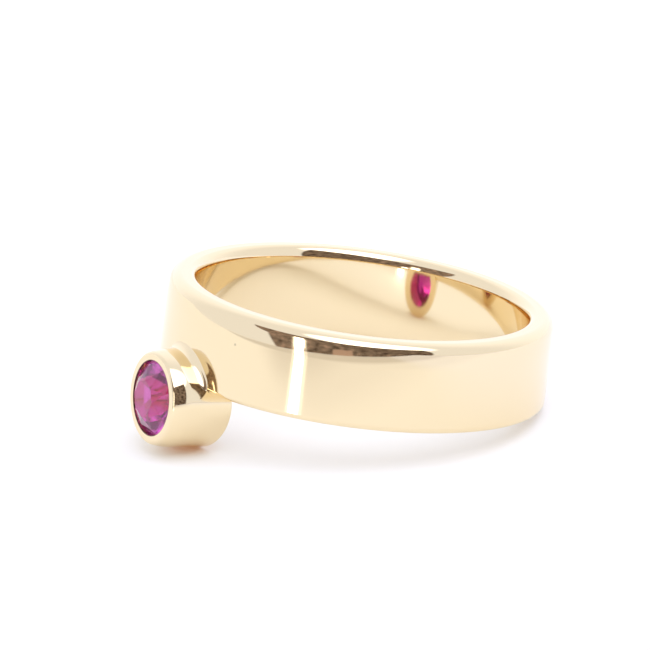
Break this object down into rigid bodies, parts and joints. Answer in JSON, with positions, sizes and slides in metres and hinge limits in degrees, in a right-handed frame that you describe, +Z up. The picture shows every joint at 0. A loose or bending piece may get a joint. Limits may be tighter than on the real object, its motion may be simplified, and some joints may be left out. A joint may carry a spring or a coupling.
{
  "type": "gemstone ring",
  "caption": "Flat polished gold band ring with a round faceted ruby in a tube setting soldered across its lower edge.",
  "frame": {"origin": "middle of the ring's box on the surface that it lies on", "axes": "+Z up, across the band as it lies; the setting points towards -Y; the ring is symmetric across X"},
  "size_m": [0.0204, 0.0234, 0.0083],
  "materials": {
    "gold": "mirror-polished 14 carat yellow gold, with faint wear scratches",
    "ruby": "polished facets, purplish red"
  },
  "bodies": {
    "root": {"band_with_setting": "gold", "ruby": "ruby"}
  },
  "joints": []
}
